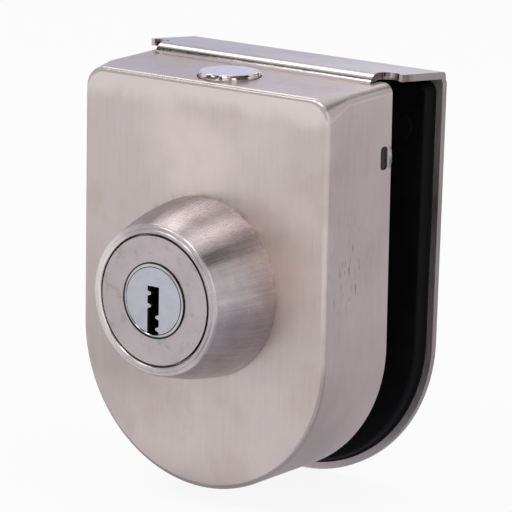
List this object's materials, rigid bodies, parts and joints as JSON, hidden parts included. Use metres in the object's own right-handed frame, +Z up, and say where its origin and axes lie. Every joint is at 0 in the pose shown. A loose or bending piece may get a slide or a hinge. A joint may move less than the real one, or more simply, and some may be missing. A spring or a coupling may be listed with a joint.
{
  "type": "glass door lock",
  "caption": "Clamp-on lock for a frameless glass door: D-shaped steel cover, keyed cylinder in a tapered collar, and a round bolt that rises from the top edge.",
  "frame": {"origin": "middle of the top edge of the glass panel where it rests under the bridge of the clamp, half way through its thickness and half way across the lock", "axes": "+Z up along the bolt, out past the edge of the glass; +Y from the key side through the glass to the back plate; +X to the right as seen from the key side"},
  "size_m": [0.0754, 0.0648, 0.1057],
  "materials": {
    "cover_steel": "vertically brushed stainless sheet",
    "clamp_steel": "brushed stainless sheet with sheared edges",
    "collar_steel": "turned and brushed stainless",
    "disc_steel": "satin",
    "chrome": "polished chrome",
    "plug_nickel": "satin nickel",
    "wafer_brass": "bare",
    "pad_rubber": "moulded black rubber",
    "plated_steel": "zinc plated steel",
    "dark_steel": "blackened steel",
    "spring_steel": "bare spring steel",
    "cast_zinc": "bare zinc casting"
  },
  "bodies": {
    "lock_body": {"front_cover": "cover_steel", "clamp_bracket": "clamp_steel", "rear_pad": "pad_rubber", "clamp_nuts": "plated_steel", "collar": "collar_steel", "collar_face_disc": "disc_steel", "cylinder_barrel": "chrome", "cylinder_washer": "plated_steel", "cylinder_nut": "plated_steel", "bolt_guide_bush": "wafer_brass", "mechanism_frame": "cast_zinc", "frame_screws": "dark_steel"},
    "plug": {"key_plug": "plug_nickel", "wafer_springs": "spring_steel", "plug_clip": "spring_steel", "drive_pinion": "plated_steel", "pinion_screw": "dark_steel"},
    "wafer_set": {"wafers": "wafer_brass"},
    "bolt": {"bolt": "chrome", "bolt_rack": "plated_steel", "rack_screws": "dark_steel"},
    "pressure_jaw": {"pressure_plate": "plated_steel", "pressure_pad": "pad_rubber"},
    "left_screw": {"clamp_screw_left": "dark_steel"},
    "right_screw": {"clamp_screw_right": "dark_steel"},
    "bottom_screw": {"clamp_screw_bottom": "dark_steel"}
  },
  "joints": [
    {"name": "key_turn", "type": "hinge", "parent": "lock_body", "child": "plug", "pos_m": [0, -0.0362, -0.04885], "axis": [0, -1, 0], "range_deg": [0, 180]},
    {"name": "bolt_throw", "type": "slide", "parent": "lock_body", "child": "bolt", "axis": [0, 0, 1], "range_m": [0, 0.01382]},
    {"name": "wafer_lift", "type": "slide", "parent": "plug", "child": "wafer_set", "axis": [0, 0, 1], "range_m": [0, 0.0008], "deforming": ["wafer_springs"]},
    {"name": "jaw_press", "type": "slide", "parent": "lock_body", "child": "pressure_jaw", "axis": [0, 1, 0], "range_m": [0, 0.0037]},
    {"name": "left_screw_turn", "type": "hinge", "parent": "pressure_jaw", "child": "left_screw", "pos_m": [-0.02803, -0.0362, -0.03845], "axis": [0, 1, 0], "range_deg": [0, 1333]},
    {"name": "right_screw_turn", "type": "hinge", "parent": "pressure_jaw", "child": "right_screw", "pos_m": [0.02803, -0.0362, -0.03845], "axis": [0, 1, 0], "range_deg": [0, 1333]},
    {"name": "bottom_screw_turn", "type": "hinge", "parent": "pressure_jaw", "child": "bottom_screw", "pos_m": [0, -0.0362, -0.08274], "axis": [0, 1, 0], "range_deg": [0, 1333]}
  ],
  "couplings": [
    {"joint": "key_turn", "follows": "bolt_throw", "rad_per_m": 227.27},
    {"joint": "left_screw_turn", "follows": "jaw_press", "rad_per_m": 6283.2},
    {"joint": "right_screw_turn", "follows": "jaw_press", "rad_per_m": 6283.2},
    {"joint": "bottom_screw_turn", "follows": "jaw_press", "rad_per_m": 6283.2}
  ]
}
